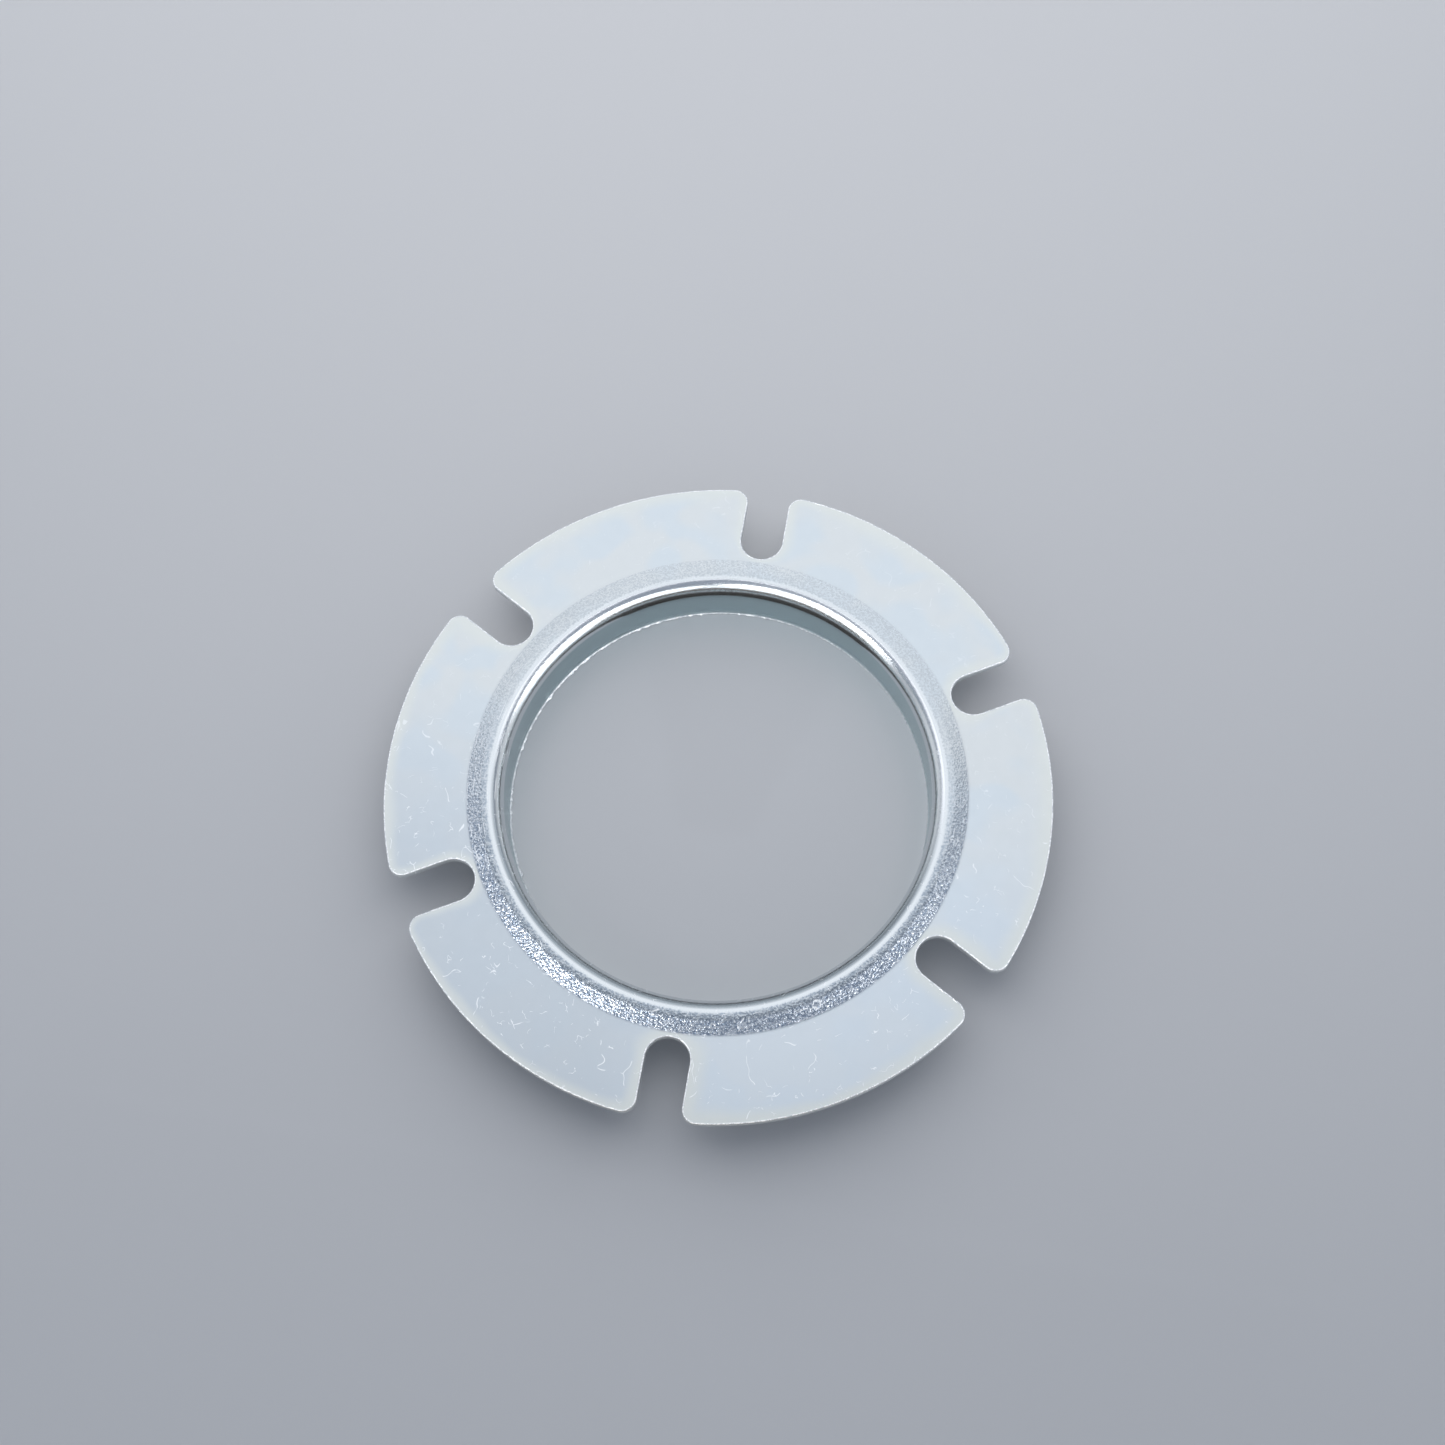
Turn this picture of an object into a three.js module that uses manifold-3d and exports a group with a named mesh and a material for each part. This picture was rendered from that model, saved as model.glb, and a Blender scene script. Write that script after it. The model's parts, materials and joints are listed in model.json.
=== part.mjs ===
// A flanged collar pressed from one piece of zinc-plated sheet steel.
//
// The sheet is drawn into a short collar behind a flat flange ring. Between the two, the sheet rises in a low conical
// band and rolls over a rounded lip. The flange's edge is then blanked, with open slots for fastening bolts.
//
// Frame: +Z runs along the collar's axis, from the collar's cut end (z = 0) towards the flange's front side. The
// origin is on the axis. One slot lies along +Y. All lengths are in millimetres.

import * as THREE from "three";
import { mergeVertices } from "three/addons/utils/BufferGeometryUtils.js";
import Module from "manifold-3d";

// Driving dimensions.
const FLANGE_DIAMETER = 140;
const BORE_DIAMETER = 90;
const SHEET_THICKNESS = 2;
const OVERALL_HEIGHT = 12.8; // from the collar's cut end to the lip's crest
const LIP_RISE = 1; // the lip's crest above the flange's flat front
const LIP_RADIUS = 3.7; // outside radius of the bend between band and collar
const BAND_DIAMETER = 105.3; // where the flat flange ends and the band begins to rise
const SLOT_COUNT = 6;
const SLOT_WIDTH = 9; // clearance for an M8 bolt
const SLOT_END_CIRCLE = 116; // circle through the centres of the slots' round ends
const CORNER_RADIUS = 3; // rounding where a slot's side meets the flange's edge

// How finely the curves are divided.
const SEGMENTS_ROUND = 96; // round the axis
const SEGMENTS_LIP = 7; // along the bend
const SEGMENTS_ARC = 5; // half the divisions of each arc of the outline

// Lengths that follow from the driving dimensions.
const flangeRadius = FLANGE_DIAMETER / 2;
const boreRadius = BORE_DIAMETER / 2;
const bandRadius = BAND_DIAMETER / 2;
const slotHalf = SLOT_WIDTH / 2;
const slotEndRadius = SLOT_END_CIRCLE / 2;
const frontZ = OVERALL_HEIGHT - LIP_RISE;
const backZ = frontZ - SHEET_THICKNESS;
const trimAllowance = 3; // the drawn sheet reaches this far past the blanked edge
const mergeTolerance = 1e-4; // points closer than this are one point

// The angle at which the band climbs, so that its straight flank runs into the lip's arc without a kink.
function bandSlope(lip) {
  const across = bandRadius - lip.x;
  const up = frontZ - lip.y;
  return Math.atan2(across, up) - Math.acos(LIP_RADIUS / Math.hypot(across, up));
}

// Points of an arc of the lip, from one tilt of its normal to another. The tilt is measured from +Z towards the axis.
function lipArc(lip, radius, fromTilt, toTilt) {
  const points = [];
  for (let i = 0; i <= SEGMENTS_LIP; i += 1) {
    const tilt = THREE.MathUtils.lerp(fromTilt, toTilt, i / SEGMENTS_LIP);
    points.push(new THREE.Vector2(lip.x - radius * Math.sin(tilt), lip.y + radius * Math.cos(tilt)));
  }
  return points;
}

// The drawn sheet's cross-section: x is the distance from the axis and y the height, closed on itself.
function sheetSection() {
  const lip = new THREE.Vector2(boreRadius + LIP_RADIUS, OVERALL_HEIGHT - LIP_RADIUS);
  const slope = bandSlope(lip);
  const upright = Math.PI / 2;
  const outside = flangeRadius + trimAllowance;
  const backBend = bandRadius - SHEET_THICKNESS * Math.tan(slope / 2);
  const front = [
    new THREE.Vector2(outside, frontZ),
    new THREE.Vector2(bandRadius, frontZ),
    ...lipArc(lip, LIP_RADIUS, -slope, upright),
    new THREE.Vector2(boreRadius, 0),
  ];
  const back = [
    new THREE.Vector2(boreRadius + SHEET_THICKNESS, 0),
    ...lipArc(lip, LIP_RADIUS - SHEET_THICKNESS, upright, -slope),
    new THREE.Vector2(backBend, backZ),
    new THREE.Vector2(outside, backZ),
  ];
  return [...front, ...back, front[0].clone()];
}

// A point given by its distance from the axis and its angle.
function polar(radius, angle) {
  return new THREE.Vector2(radius * Math.cos(angle), radius * Math.sin(angle));
}

// The blanked outline: the flange's edge with its slots, each with a round end and two rounded corners.
function blankOutline() {
  const shape = new THREE.Shape();
  const pitch = (2 * Math.PI) / SLOT_COUNT;
  const quarter = Math.PI / 2;
  const cornerCircle = flangeRadius - CORNER_RADIUS;
  const cornerAngle = Math.asin((slotHalf + CORNER_RADIUS) / cornerCircle);
  const first = polar(flangeRadius, quarter - pitch + cornerAngle);
  shape.moveTo(first.x, first.y);
  for (let i = 0; i < SLOT_COUNT; i += 1) {
    const angle = quarter + i * pitch;
    const before = polar(cornerCircle, angle - cornerAngle);
    const end = polar(slotEndRadius, angle);
    const after = polar(cornerCircle, angle + cornerAngle);
    shape.absarc(0, 0, flangeRadius, angle - pitch + cornerAngle, angle - cornerAngle, false);
    shape.absarc(before.x, before.y, CORNER_RADIUS, angle - cornerAngle, angle + quarter, false);
    shape.absarc(end.x, end.y, slotHalf, angle - quarter, angle - 3 * quarter, true);
    shape.absarc(after.x, after.y, CORNER_RADIUS, angle - quarter, angle + cornerAngle, false);
  }
  return shape;
}

// A geometry as a manifold-3d solid.
function toSolid(wasm, geometry) {
  const bare = geometry.clone();
  bare.deleteAttribute("normal");
  bare.deleteAttribute("uv");
  const merged = mergeVertices(bare, mergeTolerance);
  return new wasm.Manifold(
    new wasm.Mesh({
      numProp: 3,
      vertProperties: merged.attributes.position.array,
      triVerts: new Uint32Array(merged.index.array),
    }),
  );
}

// A manifold-3d solid as a geometry.
function toGeometry(solid) {
  const mesh = solid.getMesh();
  const geometry = new THREE.BufferGeometry();
  geometry.setAttribute("position", new THREE.BufferAttribute(mesh.vertProperties, 3));
  geometry.setIndex(new THREE.BufferAttribute(mesh.triVerts, 1));
  geometry.computeVertexNormals();
  return geometry;
}

// The flanged collar: the drawn sheet, trimmed to the blanked outline.
function flangedCollar(wasm) {
  const drawn = new THREE.LatheGeometry(sheetSection(), SEGMENTS_ROUND);
  drawn.rotateX(Math.PI / 2);
  const depth = OVERALL_HEIGHT + 2 * trimAllowance;
  const blank = new THREE.ExtrudeGeometry(blankOutline(), {
    depth,
    steps: 1,
    bevelEnabled: false,
    curveSegments: SEGMENTS_ARC,
  });
  blank.translate(0, 0, -trimAllowance);
  const solid = toSolid(wasm, drawn).intersect(toSolid(wasm, blank));
  const zincPlate = new THREE.MeshStandardMaterial({
    color: 0xcfdae4,
    roughness: 0.38,
    metalness: 1,
    flatShading: true,
  });
  const mesh = new THREE.Mesh(toGeometry(solid), zincPlate);
  mesh.name = "flanged_collar";
  return mesh;
}

const wasm = await Module();
wasm.setup();

const part = new THREE.Group();
part.add(flangedCollar(wasm));

export default part;
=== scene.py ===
"""Looks of a flanged collar pressed from one piece of zinc-plated sheet steel.

The whole part is one closed mesh, made row by row round the sheet's cross-section: up the bore, over the
burnished lip and the raised band, out across the flange to its blanked edge with the open slots, and back
underneath. Lengths are in millimetres until the mesh is written, which is in metres.
"""

import json
import math
from types import SimpleNamespace

import bpy
import numpy as np
from mathutils import Matrix, Vector


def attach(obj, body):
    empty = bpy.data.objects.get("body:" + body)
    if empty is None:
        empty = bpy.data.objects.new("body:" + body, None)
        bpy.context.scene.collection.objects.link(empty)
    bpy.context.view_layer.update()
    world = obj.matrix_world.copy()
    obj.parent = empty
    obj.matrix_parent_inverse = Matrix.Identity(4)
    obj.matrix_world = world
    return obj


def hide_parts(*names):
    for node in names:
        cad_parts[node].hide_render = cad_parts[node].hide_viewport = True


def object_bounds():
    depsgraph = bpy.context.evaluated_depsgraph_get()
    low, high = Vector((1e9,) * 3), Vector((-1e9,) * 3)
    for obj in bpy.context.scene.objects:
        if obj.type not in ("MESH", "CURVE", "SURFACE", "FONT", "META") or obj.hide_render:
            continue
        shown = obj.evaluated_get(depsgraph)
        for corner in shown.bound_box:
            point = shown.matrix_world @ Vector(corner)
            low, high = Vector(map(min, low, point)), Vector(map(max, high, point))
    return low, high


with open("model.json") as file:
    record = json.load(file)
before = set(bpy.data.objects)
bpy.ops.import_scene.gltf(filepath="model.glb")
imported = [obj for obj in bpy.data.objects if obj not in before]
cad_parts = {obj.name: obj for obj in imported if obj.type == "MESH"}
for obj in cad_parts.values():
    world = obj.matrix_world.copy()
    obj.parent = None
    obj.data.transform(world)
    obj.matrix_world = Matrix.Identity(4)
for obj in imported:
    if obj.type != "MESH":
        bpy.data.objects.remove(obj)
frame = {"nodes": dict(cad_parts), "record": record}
cad_low, cad_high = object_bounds()

NODE = "flanged_collar"
BODY = "root"
MM = 0.001
QUARTER = math.pi / 2

# Sizes that the frame gives, in millimetres.
SAME_HEIGHT = 0.01  # CAD points this near the collar's end count as on it
RIM_GAP = 0.01  # the rim stays this far inside the CAD's rim, so rounding can't put it outside
mounts = {m["name"]: m for m in frame["record"]["mounts"]}
cad_points = np.array([v.co for v in frame["nodes"][NODE].data.vertices]) / MM
cad_reach = np.hypot(cad_points[:, 0], cad_points[:, 1])
at_foot = cad_points[:, 2] < cad_points[:, 2].min() + SAME_HEIGHT
FLANGE_RADIUS = float(cad_reach.max()) - RIM_GAP
BORE_RADIUS = float(cad_reach[at_foot].min())
COLLAR_RADIUS = float(cad_reach[at_foot].max())
CREST_Z = float(cad_points[:, 2].max())
FRONT_Z = mounts["flange_front"]["pos_m"][2] / MM
BACK_Z = mounts["flange_back"]["pos_m"][2] / MM
SHEET = FRONT_Z - BACK_Z

# Sizes of the CAD part that its box and mounts don't give.
LIP_RADIUS = 3.7
BAND_RADIUS = 52.65
SLOT_COUNT = 6
SLOT_HALF = 4.5
SLOT_END_RADIUS = 58.0
CORNER_RADIUS = 3.0

# The lip's section is an arc of a quarter turn and a little more, about this radius and height.
CREST_RADIUS = BORE_RADIUS + LIP_RADIUS
BEND_Z = CREST_Z - LIP_RADIUS

# Small shapes that the CAD part leaves out.
FRONT_EDGE = 0.12  # rounding of the blanked edge on the flange's front
BACK_EDGE = 0.32  # and on its back
COLLAR_EDGE = 0.25  # rounding of the collar's trimmed end
BAND_FOOT = 1.9  # hollow radius where the band begins to rise
BURR = 0.75  # sets the height of the fin that trimming left round the bore's far end

# How the mesh is divided.
BAND_WEDGE = math.radians(16)  # half of the stretch of band whose columns run out to one slot
BORE_SHARES = (0.18, 0.42, 0.65, 0.85)  # of the way up from the collar's end to the lip
FRONT_SHARES = (0.1, 0.24, 0.4, 0.56, 0.72, 0.87, 1.0)  # of the way out across the flange
BACK_SHARES = (1.0, 0.75, 0.5, 0.25)
OUTSIDE_SHARES = (0.7, 0.35, 0.1)  # of the way up the collar's outside

rng = np.random.default_rng(11)


# ---------------------------------------------------------------- the blanked outline

def arc(centre, radius, start, stop, count):
    """Points and outward directions of an arc, without its last point. The angles are in radians."""
    angles = np.linspace(start, stop, count, endpoint=False)
    way = np.stack([np.cos(angles), np.sin(angles)], 1)
    return np.asarray(centre) + radius * way, way


def slot_side(side, start, stop, count):
    """One straight side of the slot along +X: points, without the last, and directions out of the sheet."""
    along = np.linspace(start, stop, count, endpoint=False)
    points = np.stack([along, np.full(count, side * SLOT_HALF)], 1)
    return points, np.tile([0.0, -side], (count, 1))


def outline_pitch():
    """One pitch of the outline, with its slot along +X.

    It returns the points, their directions out of the sheet, and the angles at which the mesh's columns stand
    on the band. These are evenly spread over a wedge in front of the slot, and evenly over the rest, so that
    no two columns cross on their way out round the slot.
    """
    corner_circle = FLANGE_RADIUS - CORNER_RADIUS
    corner_angle = math.asin((SLOT_HALF + CORNER_RADIUS) / corner_circle)
    corner = corner_circle * np.array([math.cos(corner_angle), math.sin(corner_angle)])
    half_pitch = math.pi / SLOT_COUNT
    rim_count, corner_count, side_count, end_count = 45, 14, 17, 32
    end, end_out = arc((SLOT_END_RADIUS, 0), SLOT_HALF, -QUARTER, -3 * QUARTER, end_count)
    sections = [
        arc((0, 0), FLANGE_RADIUS, -half_pitch, -corner_angle, rim_count),
        arc(corner * (1, -1), CORNER_RADIUS, -corner_angle, QUARTER, corner_count),
        slot_side(-1, corner[0], SLOT_END_RADIUS, side_count),
        (end, -end_out),
        slot_side(1, SLOT_END_RADIUS, corner[0], side_count),
        arc(corner, CORNER_RADIUS, -QUARTER, corner_angle, corner_count),
        arc((0, 0), FLANGE_RADIUS, corner_angle, half_pitch, rim_count),
    ]
    points = np.concatenate([s[0] for s in sections])
    outward = np.concatenate([s[1] for s in sections])
    steps = np.linalg.norm(np.diff(points, axis=0), axis=1)
    travelled = np.concatenate([[0], np.cumsum(steps)])
    slot_bottom = travelled[len(points) // 2]
    at = [travelled[0], travelled[rim_count], travelled[-rim_count], travelled[-1] + steps[-1]]
    known = np.array(at) - slot_bottom
    on_band = np.interp(travelled - slot_bottom, known, [-half_pitch, -BAND_WEDGE, BAND_WEDGE, half_pitch])
    return points, outward, on_band


def outline():
    """The whole outline: points, directions out of the sheet, and the columns' angles on the band."""
    points, outward, on_band = outline_pitch()
    rings = []
    for i in range(SLOT_COUNT):
        turn = QUARTER + i * 2 * math.pi / SLOT_COUNT
        spin = np.array([[math.cos(turn), math.sin(turn)], [-math.sin(turn), math.cos(turn)]])
        rings.append((points @ spin, outward @ spin, on_band + turn))
    return [np.concatenate(r) for r in zip(*rings)]


EDGE, EDGE_OUT, COLUMN_ANGLE = outline()
COLUMNS = len(EDGE)
COLUMN_WAY = np.stack([np.cos(COLUMN_ANGLE), np.sin(COLUMN_ANGLE)], 1)


def ragged(smoothing, low, high):
    """One random number for each column, from low to high, smoothed over its neighbours so many times."""
    values = rng.random(COLUMNS)
    for _ in range(smoothing):
        values = (np.roll(values, 1) + 2 * values + np.roll(values, -1)) / 4
    values = (values - values.min()) / (values.max() - values.min())
    return low + (high - low) * values


# ---------------------------------------------------------------- rows of the mesh

rows = []  # (points, how much the row belongs to a cut edge)


def ring_row(radius, height, cut=0.0):
    """A row round the axis. Radius and height are numbers, or one number for each column."""
    xy = COLUMN_WAY * np.reshape(radius, (-1, 1))
    z = np.broadcast_to(height, (COLUMNS,))
    rows.append((np.column_stack([xy, z]), cut))


def edge_row(inset, height, cut=0.0):
    """A row that follows the blanked outline, inset into the sheet."""
    xy = EDGE - EDGE_OUT * np.reshape(inset, (-1, 1))
    z = np.broadcast_to(height, (COLUMNS,))
    rows.append((np.column_stack([xy, z]), cut))


def flat_rows(radius, inset, height, shares):
    """Rows across the flange, each a share of the way from a ring at the band to the inset outline."""
    inner = COLUMN_WAY * radius
    outer = EDGE - EDGE_OUT * inset
    for share in shares:
        xy = inner + (outer - inner) * share
        rows.append((np.column_stack([xy, np.full(COLUMNS, height)]), 0.0))


def lip_rows(radius, tilts):
    """Rows round the lip. A tilt is the angle of the lip's normal from +Z towards the axis."""
    for tilt in tilts:
        ring_row(CREST_RADIUS - radius * math.sin(tilt), BEND_Z + radius * math.cos(tilt))


def band_slope():
    """The band's climb, so that its straight flank runs into the lip's arc without a kink."""
    across, up = BAND_RADIUS - CREST_RADIUS, FRONT_Z - BEND_Z
    return math.atan2(across, up) - math.acos(LIP_RADIUS / math.hypot(across, up))


def band_section(depth, flank_count, foot_count):
    """The band's flank and hollow foot, outwards, as (radius, height) at a depth under the sheet's front."""
    slope = band_slope()
    normal = np.array([math.sin(slope), math.cos(slope)])
    top = np.array([CREST_RADIUS, BEND_Z]) + LIP_RADIUS * normal
    reach = BAND_FOOT * math.tan(slope / 2)
    down = np.array([math.cos(slope), -math.sin(slope)])
    bottom = np.array([BAND_RADIUS, FRONT_Z]) - reach * down
    flank = [top + (bottom - top) * s - depth * normal for s in np.linspace(0, 1, flank_count)[1:]]
    centre = np.array([BAND_RADIUS + reach, FRONT_Z + BAND_FOOT])
    tilts = np.linspace(slope, 0, foot_count + 1)[1:]
    foot = [centre - (BAND_FOOT + depth) * np.array([math.sin(t), math.cos(t)]) for t in tilts]
    return flank + foot


def rounding(radius, count=4):
    """A rounded edge's rows, from its flank to its flat: each row's inset and rise, and the angle's sine."""
    for angle in np.linspace(QUARTER, 0, count):
        yield radius * (1 - math.sin(angle)), radius * (1 - math.cos(angle)), math.sin(angle)


def collar_end_rows():
    """The collar's trimmed end, and the fin that stands out of its inner edge into the bore."""
    left_side = 0.65 - 0.35 * COLUMN_WAY[:, 0]  # the fin is highest towards -X
    fin = BURR * (0.35 + 0.65 * ragged(1, 0.0, 1.0)**2) * left_side
    lift = ragged(2, 0.0, 0.08)
    ring_row(BORE_RADIUS + COLLAR_EDGE, 0.0, cut=1.0)
    ring_row(BORE_RADIUS - 0.3 * fin, 0.03, cut=1.0)
    for share, height in ((1.0, 0.12), (0.8, 0.26), (0.25, 0.40)):
        ring_row(BORE_RADIUS - share * fin, height + lift, cut=1.0)
    ring_row(BORE_RADIUS, 0.60, cut=0.3)


def front_rows():
    """The bore, the lip, the band and the flange's front."""
    for share in BORE_SHARES:
        ring_row(BORE_RADIUS, BEND_Z * share)
    lip_rows(LIP_RADIUS, np.linspace(QUARTER, -band_slope(), 21))
    band = band_section(0.0, 8, 5)
    for radius, height in band:
        ring_row(radius, height)
    flat_rows(band[-1][0], 0.45, FRONT_Z, FRONT_SHARES)


def blanked_edge_rows():
    """The blanked edge: over its burr, down the sheared and the torn part, and round to the back."""
    lift = ragged(0, 0.0, 0.07)
    torn = ragged(0, 0.0, 0.10)
    edge_row(0.36, FRONT_Z)
    edge_row(0.27 + torn, FRONT_Z + 0.5 * lift, cut=1.0)
    edge_row(0.12 + torn, FRONT_Z + lift - 0.02, cut=1.0)
    edge_row(0.04 + 0.5 * torn, FRONT_Z - FRONT_EDGE + lift, cut=1.0)
    edge_row(0.2 * torn, FRONT_Z - 0.35 * SHEET, cut=1.0)
    edge_row(torn, BACK_Z + 0.4 * SHEET, cut=1.0)
    for inset, rise, flank in rounding(BACK_EDGE):
        edge_row(inset, BACK_Z + rise, cut=flank)


def back_rows():
    """The flange's back, the hollow side of the band and lip, and the collar's outside."""
    under = band_section(SHEET, 4, 3)
    flat_rows(under[-1][0], 0.5, BACK_Z, BACK_SHARES)
    for radius, height in reversed(under):
        ring_row(radius, height)
    lip_rows(LIP_RADIUS - SHEET, np.linspace(-band_slope(), QUARTER, 9))
    for share in OUTSIDE_SHARES:
        ring_row(COLLAR_RADIUS, BEND_Z * share)
    for inset, rise, _ in rounding(COLLAR_EDGE):
        ring_row(COLLAR_RADIUS - inset, rise, cut=1.0)


def edge_distance(points):
    """How far each point of a row is from the blanked outline, seen along the axis."""
    gaps = points[:, None, :2] - EDGE[None, :, :]
    return np.sqrt((gaps**2).sum(2).min(1))


def build_collar():
    """The closed mesh through all rows, with the attributes that the finish reads."""
    collar_end_rows()
    front_rows()
    blanked_edge_rows()
    back_rows()
    count = len(rows)
    points = np.concatenate([r[0] for r in rows]) * MM
    i, j = np.meshgrid(np.arange(count), np.arange(COLUMNS), indexing="ij")
    here, there = i * COLUMNS, (i + 1) % count * COLUMNS
    beside = (j + 1) % COLUMNS
    faces = np.stack([here + j, there + j, there + beside, here + beside], 2).reshape(-1, 4)
    mesh = bpy.data.meshes.new("pressed_collar")
    mesh.from_pydata(points.tolist(), [], faces.tolist())
    mesh.validate()
    mesh.shade_smooth()
    from_edge = np.concatenate([edge_distance(r[0]) for r in rows])
    cut = np.concatenate([np.full(COLUMNS, r[1]) for r in rows])
    for name, values in (("edge_mm", from_edge), ("cut", cut)):
        attribute = mesh.attributes.new(name, "FLOAT", "POINT")
        attribute.data.foreach_set("value", values.astype(np.float32))
    piece = bpy.data.objects.new("pressed_collar", mesh)
    bpy.context.scene.collection.objects.link(piece)
    return piece


# ---------------------------------------------------------------- node trees

class Graph:
    """Short-hand for building a node tree."""

    def __init__(self, tree):
        self.tree = tree

    def node(self, kind, inputs=(), **settings):
        made = self.tree.nodes.new(kind)
        for name, value in settings.items():
            setattr(made, name, value)
        for key, value in dict(inputs).items():
            self.feed(made.inputs[key], value)
        return made

    def feed(self, socket, value):
        if isinstance(value, bpy.types.NodeSocket):
            self.tree.links.new(value, socket)
        elif value is not None:
            socket.default_value = value

    def math(self, operation, a, b=None, c=None):
        return self.node("ShaderNodeMath", {0: a, 1: b, 2: c}, operation=operation).outputs[0]

    def add(self, first, *others):
        for other in others:
            first = self.math("ADD", first, other)
        return first

    def times(self, first, *others):
        for other in others:
            first = self.math("MULTIPLY", first, other)
        return first

    def largest(self, first, *others):
        for other in others:
            first = self.math("MAXIMUM", first, other)
        return first

    def vector(self, operation, inputs):
        return self.node("ShaderNodeVectorMath", inputs, operation=operation).outputs

    def attribute(self, name):
        return self.node("ShaderNodeAttribute", attribute_name=name).outputs["Fac"]

    def noise(self, vector, scale, detail=2.0, roughness=0.5, distortion=0.0):
        made = self.node("ShaderNodeTexNoise", {
            "Vector": vector, "Scale": scale, "Detail": detail,
            "Roughness": roughness, "Distortion": distortion})
        return made.outputs[0]

    def fade(self, value, start, stop, low=0.0, high=1.0):
        """A smooth change from low, where value is at start or before it, to high, at stop or past it."""
        made = self.node("ShaderNodeMapRange", {
            "Value": value, "From Min": start, "From Max": stop, "To Min": low, "To Max": high},
            interpolation_type="SMOOTHSTEP")
        return made.outputs[0]

    def mix(self, share, a, b):
        """A colour from a to b."""
        made = self.node("ShaderNodeMix", {"Factor": share}, data_type="RGBA")
        self.feed(made.inputs[6], a)
        self.feed(made.inputs[7], b)
        return made.outputs[2]

    def blend(self, share, a, b):
        """A number from a to b."""
        made = self.node("ShaderNodeMix", {"Factor": share}, data_type="FLOAT")
        self.feed(made.inputs[2], a)
        self.feed(made.inputs[3], b)
        return made.outputs[0]


def rgb(red, green, blue):
    return (red, green, blue, 1.0)


# ---------------------------------------------------------------- the finish

# The zinc and its thin passivation, with painted shade and highlights, as linear colours.
PLAIN = rgb(0.655, 0.686, 0.696)
BLUISH = rgb(0.622, 0.678, 0.715)
LOW_SIDE_BLUE = rgb(0.617, 0.684, 0.750)
LOWER_LEFT_SHADE = rgb(0.500, 0.546, 0.586)
CREAM = rgb(0.690, 0.715, 0.690)
BAND_GREY = rgb(0.505, 0.546, 0.578)
DARK_GRAIN_SHADE = rgb(0.32, 0.39, 0.49)
PALE_GRAIN_GLINT = rgb(0.86, 0.90, 0.95)
LIP_GREY = rgb(0.655, 0.695, 0.715)
BURNISHED = rgb(0.71, 0.745, 0.765)
LIP_SHADE = rgb(0.30, 0.34, 0.37)
BRIGHT = rgb(0.93, 0.95, 0.97)
BORE_GREEN_SHADE = rgb(0.455, 0.55, 0.575)

# Cut faces, each from its darker to its paler parts; the burrs' paler part is a painted glint.
BURR_SHADES = (rgb(0.66, 0.69, 0.72), rgb(0.96, 0.97, 0.98))
SHEARED_SHADES = (rgb(0.60, 0.63, 0.65), rgb(0.80, 0.83, 0.85))
BROKEN_SHADES = (rgb(0.50, 0.53, 0.55), rgb(0.72, 0.74, 0.76))

LIP_END = CREST_RADIUS - 0.1  # where the burnished lip ends in the band's grain
LOOPS = ((27.4, -42.2, 1.0), (50.2, 4.4, 1.3))  # x, y and size of the two loop-shaped marks


def stretched(g, at, along, around, up):
    """A texture place with its own scale outwards, round the axis and upwards, for the pressing's grain."""
    angle = g.math("ARCTAN2", at.y, at.x)
    place = g.node("ShaderNodeCombineXYZ", {
        0: g.times(at.radius, along), 1: g.times(angle, around * BAND_RADIUS), 2: g.times(at.z, up)})
    return place.outputs[0]


def hairs(g, place, size, width, wander):
    """Thin winding lines: the borders of cells about that size, bent by noise and broken up."""
    bends = g.node("ShaderNodeTexNoise", {"Vector": place, "Scale": 1.4 / size, "Detail": 2.0})
    shift = g.vector("SCALE", {0: bends.outputs["Color"], "Scale": wander})[0]
    bent = g.vector("ADD", {0: place, 1: shift})[0]
    cells = g.node("ShaderNodeTexVoronoi", {"Vector": bent, "Scale": 1 / size}, feature="DISTANCE_TO_EDGE")
    line = g.fade(cells.outputs["Distance"], width / size, 0.3 * width / size)
    gaps = g.noise(place, 2.6 / size, detail=1.0)
    return g.times(line, g.fade(gaps, 0.59, 0.63))


def specks(g, place, spacing, size, share):
    """Small dots, one in some of the cells of the given spacing."""
    cells = g.node("ShaderNodeTexVoronoi", {"Vector": place, "Scale": 1 / spacing})
    dot = g.fade(cells.outputs["Distance"], 0.5 * size / spacing, 0.2 * size / spacing)
    pick = g.node("ShaderNodeSeparateColor", {0: cells.outputs["Color"]}).outputs[0]
    return g.times(dot, g.math("LESS_THAN", pick, share))


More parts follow.
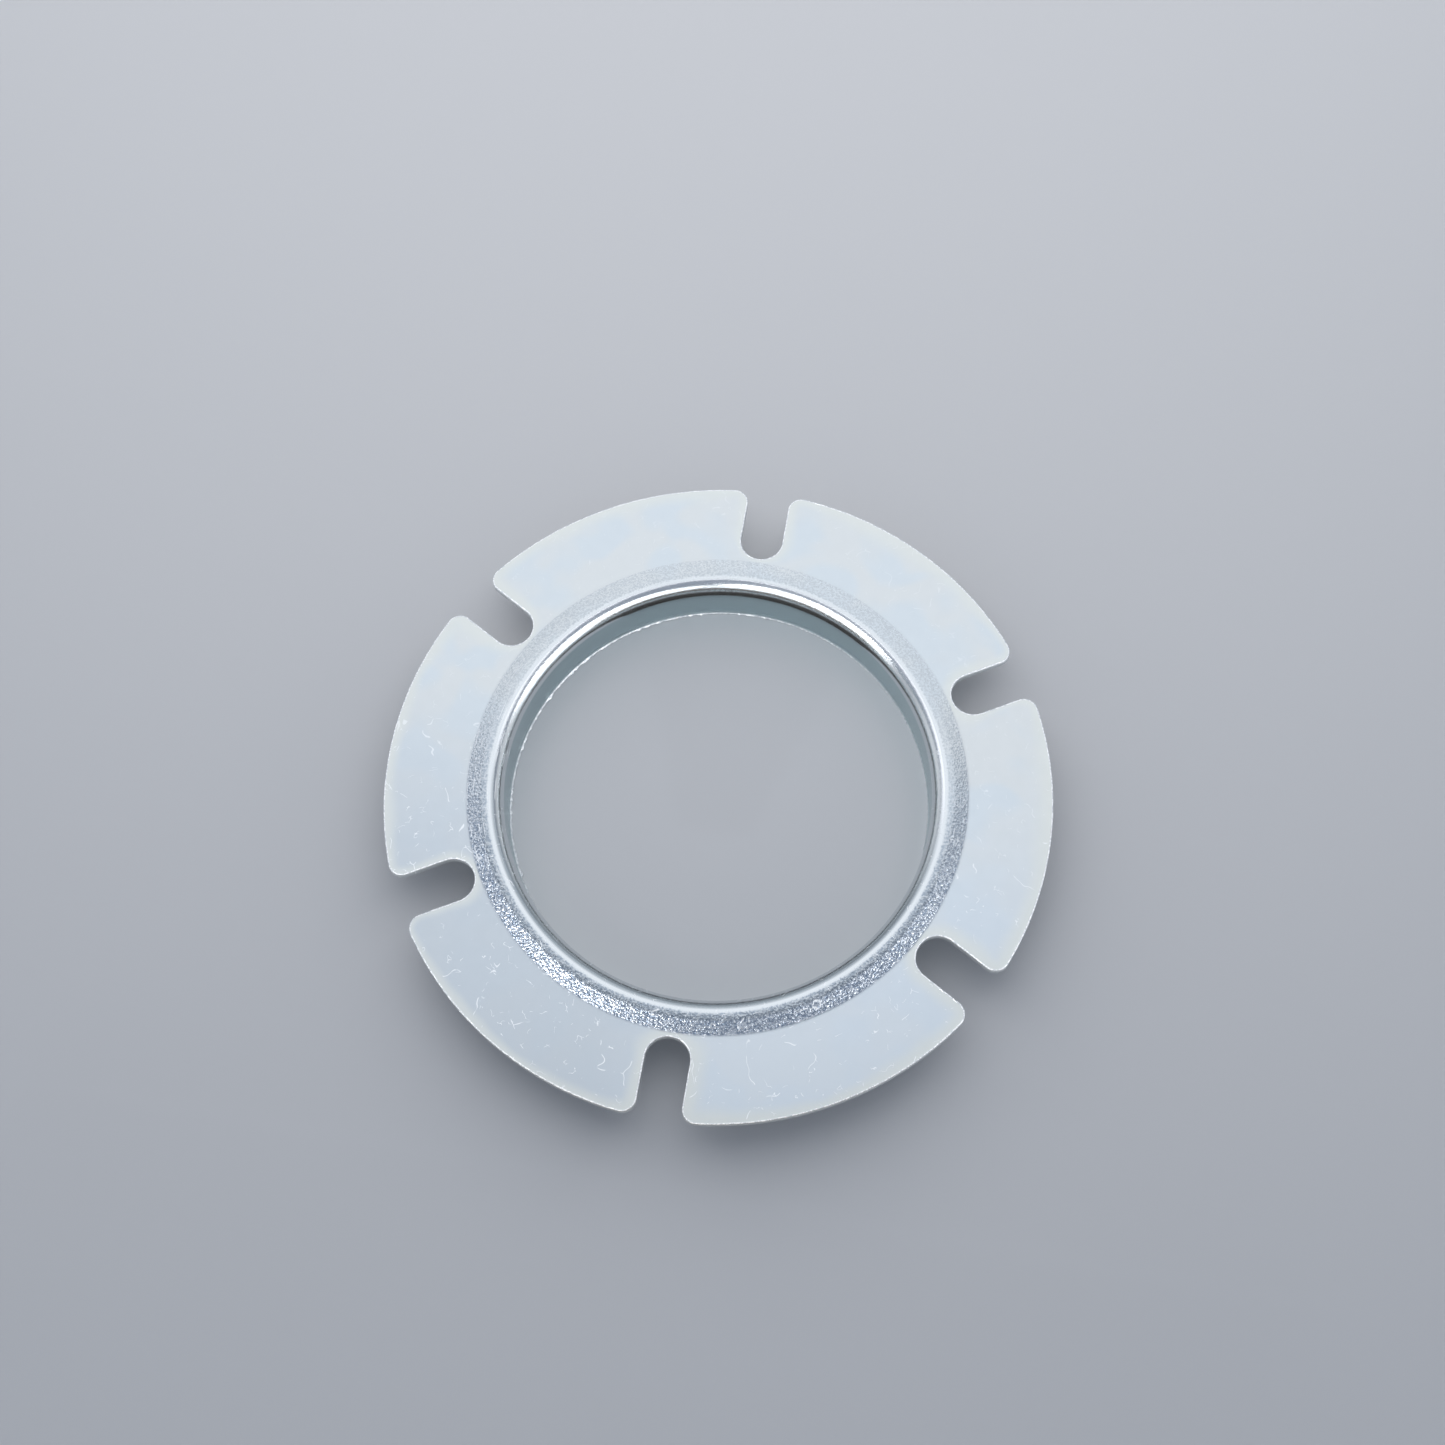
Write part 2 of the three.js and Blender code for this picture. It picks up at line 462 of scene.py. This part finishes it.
def surface_zones(g):
    """Places on the part in millimetres, noises that layers share, and masks of where each finish is."""
    at = SimpleNamespace()
    place = g.node("ShaderNodeTexCoord").outputs["Object"]
    at.mm = g.vector("SCALE", {0: place, "Scale": 1 / MM})[0]
    at.x, at.y, at.z = g.node("ShaderNodeSeparateXYZ", {0: at.mm}).outputs
    at.radius = g.math("SQRT", g.add(g.times(at.x, at.x), g.times(at.y, at.y)))
    at.from_edge = g.attribute("edge_mm")
    at.cut = g.attribute("cut")
    at.low_side = g.fade(at.y, 20.0, -30.0)
    at.patch = g.noise(at.mm, 0.085, detail=1.0, distortion=0.4)
    at.grit = g.noise(at.mm, 2.1, detail=1.5, roughness=0.6)
    at.grain = g.noise(at.mm, 1.9, roughness=0.65)
    # The lip ends raggedly in the band's grain.
    ragged_radius = g.add(at.radius, g.times(at.grit, 0.9))
    at.band = g.times(
        g.fade(at.radius, BAND_RADIUS + 0.10, BAND_RADIUS - 0.40),
        g.fade(ragged_radius, LIP_END - 0.3, LIP_END + 0.3))
    at.lip = g.times(
        g.fade(ragged_radius, LIP_END + 0.3, LIP_END - 0.3),
        g.fade(at.z, BEND_Z - 0.1, BEND_Z + 0.5))
    at.bore = g.times(
        g.fade(at.radius, BORE_RADIUS + 0.12, BORE_RADIUS + 0.02),
        g.fade(at.z, BEND_Z + 0.5, BEND_Z + 0.1))
    # A cut face is sheared smooth at first, then broken off rough. The collar's end, far below, is neither.
    below = g.math("SUBTRACT", FRONT_Z, at.z)
    at.sheared = g.times(at.cut, g.fade(below, 0.05, 0.20), g.fade(below, 8.0, 6.0))
    at.broken = g.times(at.sheared, g.fade(g.math("MULTIPLY_ADD", at.grit, 0.5, below), 0.90, 1.05))
    at.upright_lines = g.noise(g.vector("MULTIPLY", {0: at.mm, 1: (4.0, 4.0, 0.35)})[0], 1.0)
    return at


def flange_colour(g, at):
    """Tints: bluish patches mid-flange and cream towards the blanked edge, from the passivation; bluer
    towards the low side; painted shade darker at the lower left.
    """
    colour = g.mix(g.fade(at.patch, 0.42, 0.62), PLAIN, BLUISH)
    colour = g.mix(g.times(at.low_side, 0.6), colour, LOW_SIDE_BLUE)
    # Painted shade: the flange is painted darker towards the lower left.
    left = g.fade(at.x, 14.0, -18.0, 0.0, 0.55)
    colour = g.mix(g.times(at.low_side, left), colour, LOWER_LEFT_SHADE)
    cream_width = g.math("MULTIPLY_ADD", g.noise(at.mm, 0.05), 9.0, -1.0)
    inwards = g.math("DIVIDE", at.from_edge, cream_width)
    return g.mix(g.fade(inwards, 1.0, 0.1, 0.0, 0.85), colour, CREAM)


def pressed_colour(g, at, colour):
    """The band, the lip and the bore, over the flange's colour."""
    speckled = g.fade(at.grit, 0.40, 0.60, 0.3, 0.9)
    colour = g.mix(g.times(at.band, speckled), colour, BAND_GREY)
    # Painted glints and shade: on the low side, the band's grain is painted pale and dark.
    grain_glints = g.mix(g.fade(at.grain, 0.40, 0.60), DARK_GRAIN_SHADE, PALE_GRAIN_GLINT)
    colour = g.mix(g.times(at.band, at.low_side, 0.9), colour, grain_glints)
    colour = g.mix(at.lip, colour, LIP_GREY)
    burnished = g.times(at.lip, g.fade(at.radius, CREST_RADIUS + 0.5, CREST_RADIUS - 1.3))
    colour = g.mix(burnished, colour, BURNISHED)
    # Painted shade: on the low side, the lip's inner and outer parts are painted darker.
    outer = g.times(
        g.fade(at.radius, CREST_RADIUS - 0.7, CREST_RADIUS - 0.2),
        g.fade(at.radius, CREST_RADIUS + 1.3, CREST_RADIUS + 0.7, 0.0, 0.6))
    inner = g.times(
        g.fade(at.radius, CREST_RADIUS - 1.1, CREST_RADIUS - 1.8),
        g.fade(at.radius, CREST_RADIUS - 2.9, CREST_RADIUS - 2.1), at.lip)
    colour = g.mix(g.times(g.largest(outer, inner), at.low_side), colour, LIP_SHADE)
    # Painted highlight: on the upper half, a bright line is painted along it.
    painted_highlight = g.times(
        g.fade(at.radius, CREST_RADIUS - 1.1, CREST_RADIUS - 1.4),
        g.fade(at.radius, CREST_RADIUS - 2.2, CREST_RADIUS - 1.8), g.fade(at.low_side, 0.6, 0.0))
    colour = g.mix(painted_highlight, colour, BRIGHT)
    # The bore is grey-green, and painted darker as shade in the recess.
    return g.mix(at.bore, colour, BORE_GREEN_SHADE)


def cut_colour(g, at):
    """Cut faces: pale burrs with painted white glints, upright lines where sheared, mottled where broken off.
    """
    colour = g.mix(g.fade(g.noise(at.mm, 2.6, detail=1.0), 0.42, 0.56), *BURR_SHADES)
    colour = g.mix(at.sheared, colour, g.mix(at.upright_lines, *SHEARED_SHADES))
    return g.mix(at.broken, colour, g.mix(at.grit, *BROKEN_SHADES))


def loop_mark(g, at, x, y, size):
    """A small wobbly ring on the flange's front."""
    centre = g.node("ShaderNodeCombineXYZ", {0: x, 1: y, 2: FRONT_Z}).outputs[0]
    apart = g.vector("DISTANCE", {0: at.mm, 1: centre})["Value"]
    wobble = g.math("MULTIPLY_ADD", g.noise(at.mm, 1.2), 0.7, -0.35 - size)
    off_ring = g.math("ABSOLUTE", g.add(apart, wobble))
    return g.fade(off_ring, 0.14, 0.04, 0.0, 0.8)


def handling_marks(g, at):
    """Hairs, specks, two loops, and streaks at the left of the band. Most are on the low side."""
    wide_hairs = hairs(g, at.mm, size=11.0, width=0.11, wander=9.0)
    fine_hairs = hairs(g, at.mm, size=4.5, width=0.06, wander=5.0)
    dots = specks(g, at.mm, spacing=2.4, size=0.24, share=0.10)
    loops = [loop_mark(g, at, x, y, size) for x, y, size in LOOPS]
    streaks = g.fade(g.noise(stretched(g, at, 2.6, 0.10, 0.0), 1.0, detail=1.0), 0.64, 0.70)
    streaks = g.times(streaks, g.largest(at.band, at.lip), g.fade(at.x, -38.0, -46.0))
    marks = g.largest(wide_hairs, fine_hairs, dots, *loops, streaks)
    handled = g.fade(at.y, 30.0, -30.0, 0.25, 1.0)
    return g.times(marks, handled, g.fade(at.bore, 1.0, 0.0))


def gloss(g, at, marks):
    """The roughness of each finish."""
    haze = g.noise(at.mm, 0.35, detail=3.0, roughness=0.6)
    rough = g.fade(haze, 0.3, 0.7, 0.38, 0.45)
    for zone, value in ((at.band, 0.25), (at.lip, 0.19), (at.bore, 0.26)):
        rough = g.blend(zone, rough, value)
    return g.blend(g.largest(at.cut, marks), rough, 0.5)


def relief(g, at, marks):
    """The height of everything too small for the mesh, in millimetres."""
    fine = g.times(g.noise(at.mm, 4.5, roughness=0.6), 0.007)
    # The band's grain rises and falls about nothing, so that no step shows where it begins.
    dimples = g.node("ShaderNodeTexVoronoi", {"Vector": at.mm, "Scale": 2.2}).outputs["Distance"]
    coarse = g.math("MULTIPLY_ADD", dimples, 0.065, g.math("MULTIPLY_ADD", at.grain, 0.105, -0.085))
    coarse = g.times(coarse, at.band, g.fade(at.low_side, 0.0, 1.0, 0.45, 1.0))
    scuffed = g.times(at.lip, g.fade(at.patch, 0.42, 0.55), g.noise(at.mm, 3.2), 0.022)
    drawn = g.times(g.noise(stretched(g, at, 1.0, 2.2, 0.06), 1.0), at.bore, 0.006)
    lines = g.times(at.upright_lines, at.sheared, 0.02)
    broken = g.times(at.grit, at.broken, 0.05)
    return g.add(fine, coarse, scuffed, drawn, g.times(marks, 0.012), lines, broken)


def zinc_plate():
    """The whole finish, as one material."""
    material = bpy.data.materials.new("zinc_plate")
    material.use_nodes = True
    g = Graph(material.node_tree)
    shader = material.node_tree.nodes["Principled BSDF"]
    at = surface_zones(g)
    marks = handling_marks(g, at)
    colour = pressed_colour(g, at, flange_colour(g, at))
    colour = g.mix(g.times(at.cut, 0.9), colour, cut_colour(g, at))
    colour = g.mix(g.times(marks, 0.8), colour, BRIGHT)
    g.feed(shader.inputs["Base Color"], colour)
    g.feed(shader.inputs["Roughness"], gloss(g, at, marks))
    shader.inputs["Metallic"].default_value = 1.0
    bump = g.node("ShaderNodeBump", {"Height": relief(g, at, marks), "Strength": 1.0, "Distance": MM})
    g.feed(shader.inputs["Normal"], bump.outputs[0])
    return material


# ---------------------------------------------------------------- floor, light and camera

def make_floor():
    """A plain pale floor, and a pale wall far round it. Both glow a little where the lights don't reach."""
    reach, wall_height = 3.0, 1.5
    glow_starts, glow_full, glow = 0.25, 1.1, 0.24
    low = cad_low.z
    square = [(-reach, -reach), (reach, -reach), (reach, reach), (-reach, reach)]
    foot = [(x, y, low) for x, y in square]
    top = [(x, y, low + wall_height) for x, y in square]
    mesh = bpy.data.meshes.new("floor")
    mesh.from_pydata(foot, [], [(0, 1, 2, 3)])
    wall_mesh = bpy.data.meshes.new("wall")
    wall_mesh.from_pydata(foot + top, [], [(i, (i + 1) % 4, (i + 1) % 4 + 4, i + 4) for i in range(4)])
    for part in (mesh, wall_mesh):
        shown = bpy.data.objects.new(part.name, part)
        bpy.context.scene.collection.objects.link(shown)
        material = bpy.data.materials.new(part.name)
        material.use_nodes = True
        part.materials.append(material)
        g = Graph(material.node_tree)
        shader = material.node_tree.nodes["Principled BSDF"]
        shader.inputs["Base Color"].default_value = rgb(0.68, 0.68, 0.69)
        shader.inputs["Roughness"].default_value = 0.8
        shader.inputs["Emission Color"].default_value = rgb(0.96, 0.98, 1.0)
        away = g.vector("LENGTH", {0: g.node("ShaderNodeTexCoord").outputs["Object"]})["Value"]
        g.feed(shader.inputs["Emission Strength"], g.fade(away, glow_starts, glow_full, 0.0, glow))


def softbox(name, azimuth, tilt, distance, width, height, radiance,
            lean=None, shape="RECTANGLE", on_floor=True):
    """A light over the part. The azimuth is from +X and the tilt from straight up, in degrees.

    It faces the part, unless lean gives the tilt of its face. One that isn't on_floor gives no diffuse light,
    and only shows in reflections. Lengths are in metres.
    """
    light = bpy.data.lights.new(name, "AREA")
    light.shape = shape
    light.size = width
    light.size_y = height
    filled = math.pi / 4 if shape == "ELLIPSE" else 1
    light.energy = radiance * math.pi * width * height * filled
    lamp = bpy.data.objects.new(name, light)
    spot = distance * Vector((math.sin(math.radians(tilt)), 0, math.cos(math.radians(tilt))))
    turn = Matrix.Rotation(math.radians(azimuth), 4, "Z") @ Matrix.Translation(spot)
    face = Matrix.Rotation(math.radians(tilt if lean is None else lean), 4, "Y")
    lamp.matrix_world = turn @ face @ Matrix.Rotation(QUARTER, 4, "Z")
    lamp.visible_camera = False
    lamp.visible_diffuse = on_floor
    bpy.context.scene.collection.objects.link(lamp)


def dark_card(name, corners, colour):
    """A dark card, given by its corners in millimetres, that stands in for shade: it shows in reflections and
    does nothing else.
    """
    mesh = bpy.data.meshes.new(name)
    mesh.from_pydata([tuple(MM * c for c in corner) for corner in corners], [], [range(len(corners))])
    card = bpy.data.objects.new(name, mesh)
    bpy.context.scene.collection.objects.link(card)
    card.visible_camera = False
    card.visible_diffuse = False
    card.visible_shadow = False
    card.visible_transmission = False
    material = bpy.data.materials.new(name)
    material.use_nodes = True
    shader = material.node_tree.nodes["Principled BSDF"]
    shader.inputs["Base Color"].default_value = colour
    shader.inputs["Roughness"].default_value = 0.9
    mesh.materials.append(material)


def make_world():
    """The dim, cool light of the rest of the room."""
    world = bpy.data.worlds.new("studio")
    bpy.context.scene.world = world
    world.use_nodes = True
    background = world.node_tree.nodes["Background"]
    background.inputs["Color"].default_value = rgb(0.76, 0.88, 1.08)
    background.inputs["Strength"].default_value = 0.31


def make_softboxes():
    """Ceiling and sides light everything. Windows and the boxes below them only show in the metal."""
    softbox("overhead", 99.5, 52.5, 0.46, 0.76, 0.84, radiance=0.85, lean=8, shape="ELLIPSE")
    softbox("back", 98, 84, 0.6, 0.90, 0.24, radiance=0.12)
    softbox("side_right", 30, 74, 0.6, 0.60, 0.40, radiance=0.28)
    softbox("side_left", 168, 74, 0.6, 0.50, 0.40, radiance=0.30)
    softbox("window_left", 241, 50, 0.6, 0.48, 0.13, radiance=10.8, on_floor=False)
    softbox("window_right", 326, 53, 0.6, 0.84, 0.13, radiance=3.4, on_floor=False)
    softbox("below_left", 244, 71, 0.6, 0.75, 0.29, radiance=1.45, on_floor=False)
    softbox("below_right", 326, 73, 0.6, 0.84, 0.29, radiance=1.35, on_floor=False)


def make_dark_cards():
    """Two dark cards stand in for shade that the metal mirrors, as painted shade. One stands across the near
    side. The other lies in the bore, as a fan with its tip cut off.
    """
    near, wide, low, high = -82.0, 130.0, 1.0, 48.0
    corners = [(-wide, near, low), (wide, near, low), (wide, near, high), (-wide, near, high)]
    dark_card("card_near", corners, rgb(0.10, 0.075, 0.05))
    fan_radius, fan_height = 39.5, 0.4
    turns = np.radians(np.linspace(60, 124, 17))
    fan = [(fan_radius * math.cos(t), fan_radius * math.sin(t), fan_height) for t in turns]
    tip = [(-8, -6, fan_height), (8, -6, fan_height)]
    dark_card("card_bore", fan + tip, rgb(0.02, 0.016, 0.012))


def make_camera():
    """The camera stands in front of the flange, 19 degrees off its axis and 5.3 flange radii away."""
    nod, turn, roll = -21.175, -1.397, -9.732  # degrees
    across, up, back = 0.0165, 0.1886, 5.2933  # flange radii from the flange's middle, as it sees them
    camera = bpy.data.cameras.new("camera")
    camera.sensor_width = 36.0
    camera.lens = 44.13
    camera.clip_start = 0.01
    eye = bpy.data.objects.new("camera", camera)
    facing = Matrix.Identity(3)
    for degrees, axis in ((nod, "X"), (turn, "Y"), (roll, "Z")):
        facing = facing @ Matrix.Rotation(math.radians(degrees), 3, axis)
    facing = facing.transposed()
    offset = facing @ Vector((across, up, back)) * (FLANGE_RADIUS * MM)
    eye.matrix_world = Matrix.Translation(offset + Vector((0, 0, FRONT_Z * MM))) @ facing.to_4x4()
    bpy.context.scene.collection.objects.link(eye)
    bpy.context.scene.camera = eye


make_camera()
make_world()
make_softboxes()
make_dark_cards()
make_floor()
collar = build_collar()
collar.data.materials.append(zinc_plate())
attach(collar, BODY)
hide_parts(NODE)
bpy.context.scene.view_settings.view_transform = "Standard"
